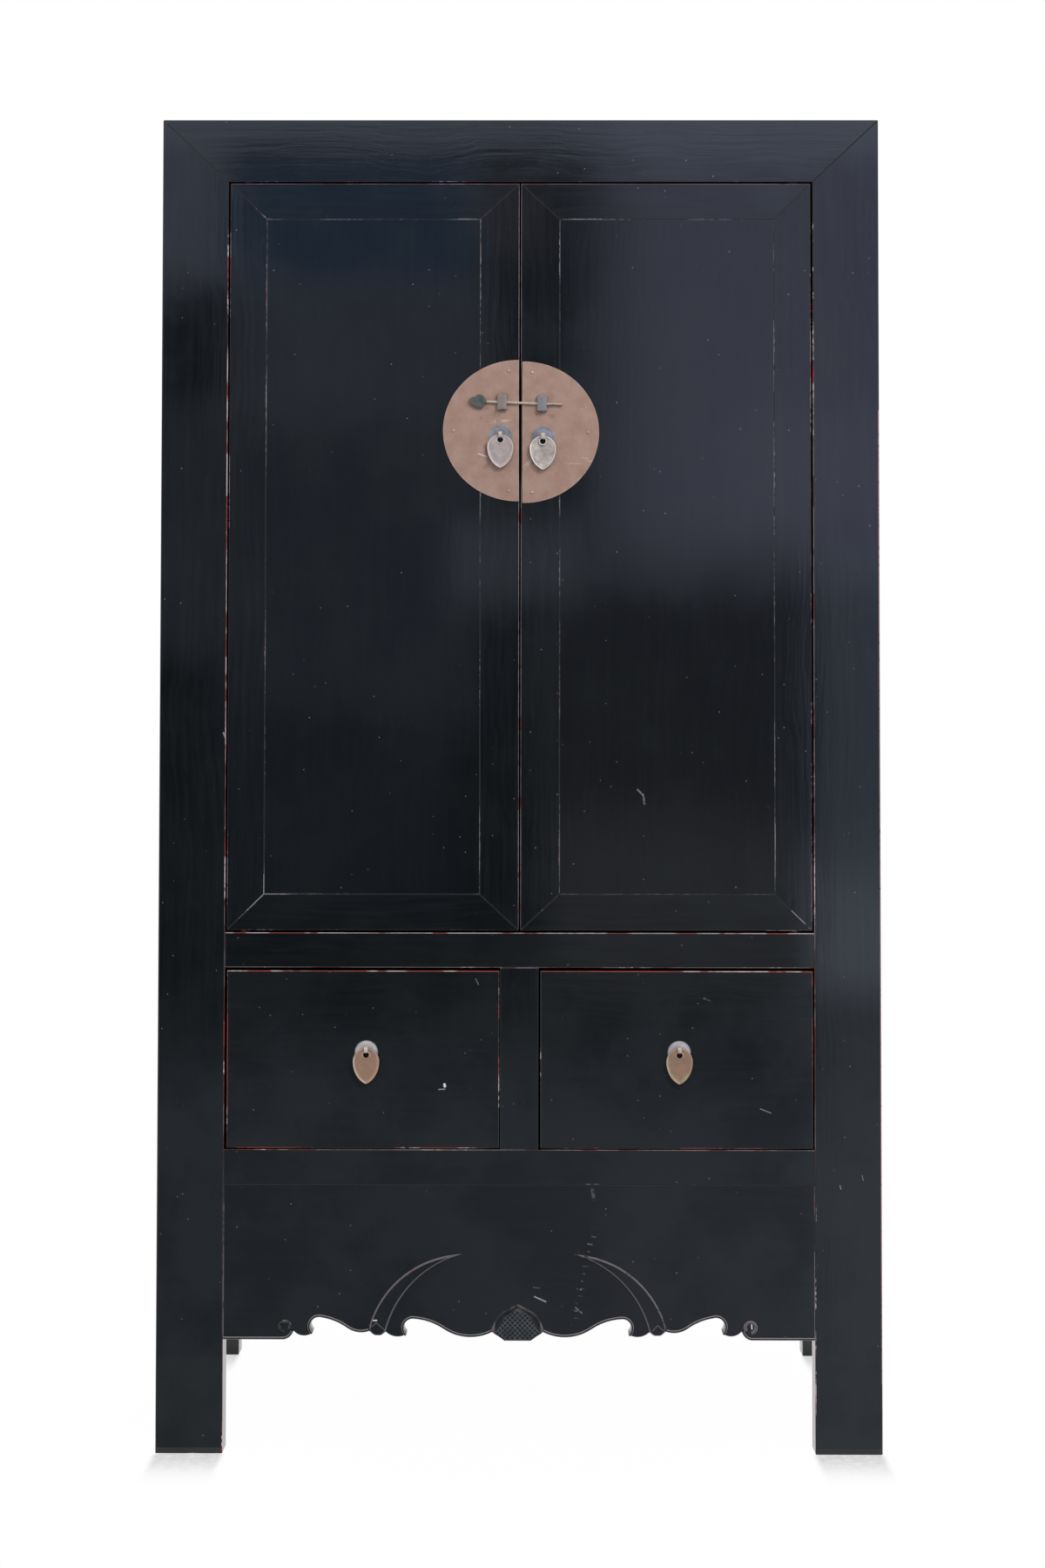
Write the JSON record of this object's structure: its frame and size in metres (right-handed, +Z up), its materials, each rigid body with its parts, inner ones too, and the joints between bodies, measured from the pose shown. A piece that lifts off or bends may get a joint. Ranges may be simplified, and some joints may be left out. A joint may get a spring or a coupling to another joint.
{
  "type": "wedding cabinet",
  "caption": "Tall lacquered cabinet with pivot-hung doors, a round split lock plate, drawers below and a carved scalloped apron between its legs.",
  "frame": {"origin": "on the floor, in the middle of the four feet", "axes": "+X to the right seen from the front, the front faces -Y, +Z up"},
  "size_m": [1.028, 0.553, 1.9],
  "materials": {
    "black_lacquer": "worn black lacquer, satin",
    "inner_wood": "bare softwood, aged",
    "plate_brass": "brushed, aged",
    "pull_brass": "worn, aged",
    "dark_brass": "dark patina"
  },
  "bodies": {
    "case": {"front_left_post": "black_lacquer", "front_right_post": "black_lacquer", "back_left_post": "black_lacquer", "back_right_post": "black_lacquer", "front_top_rail": "black_lacquer", "front_middle_rail": "black_lacquer", "front_lower_rail": "black_lacquer", "drawer_divider": "black_lacquer", "carved_apron": "black_lacquer", "left_side_rails": "black_lacquer", "right_side_rails": "black_lacquer", "left_side_panels": "black_lacquer", "right_side_panels": "black_lacquer", "back_lower_rail": "black_lacquer", "back_middle_rail": "black_lacquer", "back_top_rail": "black_lacquer", "back_lower_panel": "black_lacquer", "back_upper_panel": "black_lacquer", "top_board": "black_lacquer", "cupboard_floor": "inner_wood", "cupboard_shelf": "inner_wood", "shelf_bearers": "inner_wood", "drawer_runners": "inner_wood"},
    "left_door": {"left_door_hinge_stile": "black_lacquer", "left_door_meeting_stile": "black_lacquer", "left_door_rails": "black_lacquer", "left_door_panel": "black_lacquer", "left_door_battens": "inner_wood", "left_lock_plate": "plate_brass", "left_plate_nails": "dark_brass", "left_lock_staple": "dark_brass", "left_door_rosette": "pull_brass", "left_door_eyelet": "pull_brass"},
    "left_door_pull": {"left_door_pendant": "pull_brass"},
    "left_drawer": {"left_drawer_front": "black_lacquer", "left_drawer_sides": "inner_wood", "left_drawer_back": "inner_wood", "left_drawer_bottom": "inner_wood", "left_drawer_rosette": "pull_brass", "left_drawer_eyelet": "pull_brass"},
    "left_drawer_pull": {"left_drawer_pendant": "pull_brass"},
    "right_door": {"right_door_hinge_stile": "black_lacquer", "right_door_meeting_stile": "black_lacquer", "right_door_rails": "black_lacquer", "right_door_panel": "black_lacquer", "right_door_battens": "inner_wood", "right_lock_plate": "plate_brass", "right_plate_nails": "dark_brass", "right_lock_staple": "dark_brass", "right_door_rosette": "pull_brass", "right_door_eyelet": "pull_brass"},
    "right_door_pull": {"right_door_pendant": "pull_brass"},
    "right_drawer": {"right_drawer_front": "black_lacquer", "right_drawer_sides": "inner_wood", "right_drawer_back": "inner_wood", "right_drawer_bottom": "inner_wood", "right_drawer_rosette": "pull_brass", "right_drawer_eyelet": "pull_brass"},
    "right_drawer_pull": {"right_drawer_pendant": "pull_brass"},
    "lock_pin": {"lock_pin": "dark_brass"}
  },
  "joints": [
    {"name": "left_door_hinge", "type": "hinge", "parent": "case", "child": "left_door", "pos_m": [-0.39229, -0.259, 0.7343], "axis": [0, 0, -1], "range_deg": [0, 110]},
    {"name": "right_door_hinge", "type": "hinge", "parent": "case", "child": "right_door", "pos_m": [0.39229, -0.259, 0.7343], "axis": [0, 0, 1], "range_deg": [0, 110]},
    {"name": "left_drawer_slide", "type": "slide", "parent": "case", "child": "left_drawer", "axis": [0, -1, 0], "range_m": [0, 0.36]},
    {"name": "right_drawer_slide", "type": "slide", "parent": "case", "child": "right_drawer", "axis": [0, -1, 0], "range_m": [0, 0.36]},
    {"name": "lock_pin_slide", "type": "slide", "parent": "left_door", "child": "lock_pin", "axis": [-0.9992, 0, 0.0402], "range_m": [0, 0.1]},
    {"name": "left_door_pull_swing", "type": "hinge", "parent": "left_door", "child": "left_door_pull", "pos_m": [-0.0282, -0.2782, 1.4446], "axis": [-1, 0, 0], "range_deg": [0, 100]},
    {"name": "right_door_pull_swing", "type": "hinge", "parent": "right_door", "child": "right_door_pull", "pos_m": [0.0326, -0.2782, 1.4423], "axis": [-1, 0, 0], "range_deg": [0, 100]},
    {"name": "left_drawer_pull_swing", "type": "hinge", "parent": "left_drawer", "child": "left_drawer_pull", "pos_m": [-0.2171, -0.2766, 0.5692], "axis": [-1, 0, 0], "range_deg": [0, 100]},
    {"name": "right_drawer_pull_swing", "type": "hinge", "parent": "right_drawer", "child": "right_drawer_pull", "pos_m": [0.2271, -0.2766, 0.5692], "axis": [-1, 0, 0], "range_deg": [0, 100]}
  ]
}
